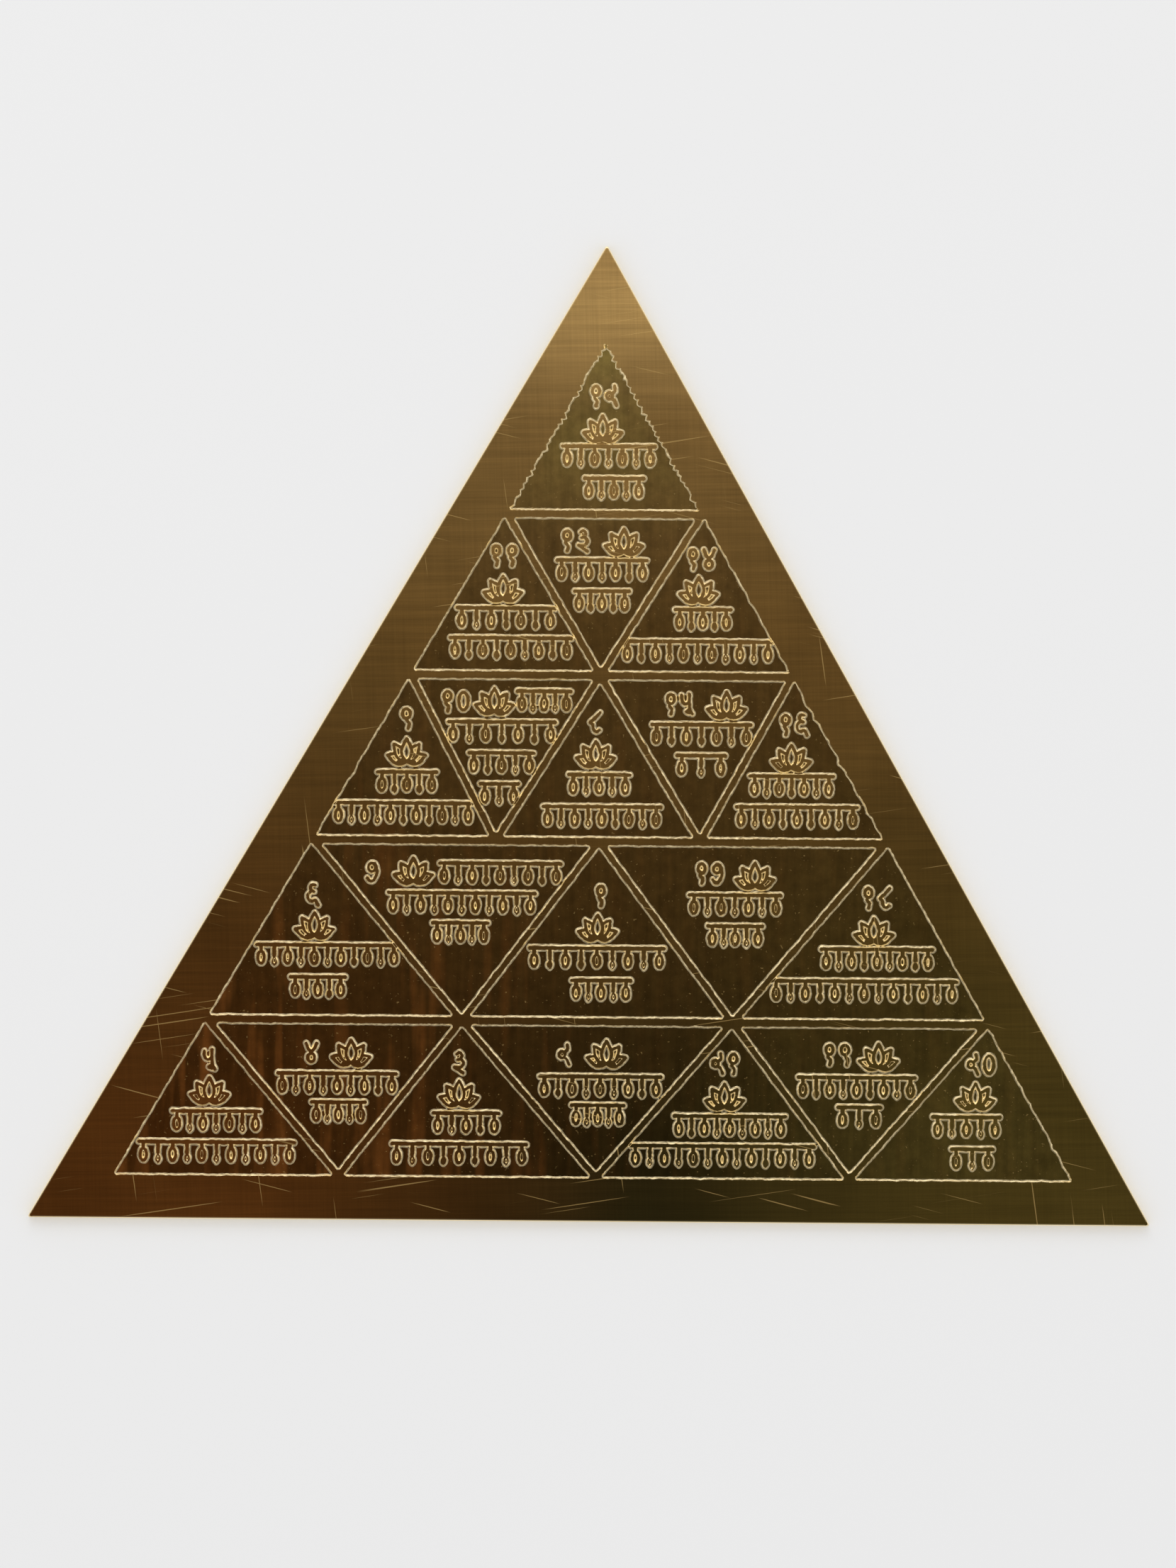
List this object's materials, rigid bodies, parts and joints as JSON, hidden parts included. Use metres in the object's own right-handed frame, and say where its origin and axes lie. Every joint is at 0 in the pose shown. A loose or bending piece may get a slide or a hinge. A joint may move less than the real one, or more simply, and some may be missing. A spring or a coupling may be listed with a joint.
{
  "type": "yantra plate",
  "caption": "Flat triangular brass plate with rolled upper edges, its face etched into small triangular cells with raised ornaments, for standing or laying on a shelf or altar.",
  "frame": {"origin": "under the middle of the sheet's box, on its flat back", "axes": "+Z out of the etched face, +Y to the apex, +X along the base to the right as seen from the face"},
  "size_m": [0.1014, 0.0882, 0.001],
  "materials": {
    "sheet": "aged brass, fine level brushing, scratches, dark bite in the etched cells and bright sloping cell walls",
    "relief": "unetched brass left proud of the dark cell floors, brushed with the sheet"
  },
  "bodies": {
    "root": {"plate": "sheet", "relief_01": "relief", "relief_02": "relief", "relief_03": "relief", "relief_04": "relief", "relief_05": "relief", "relief_06": "relief", "relief_07": "relief", "relief_08": "relief", "relief_09": "relief", "relief_10": "relief", "relief_11": "relief", "relief_12": "relief", "relief_13": "relief", "relief_14": "relief", "relief_15": "relief", "relief_16": "relief", "relief_17": "relief", "relief_18": "relief", "relief_19": "relief", "relief_20": "relief", "relief_21": "relief"}
  },
  "joints": []
}
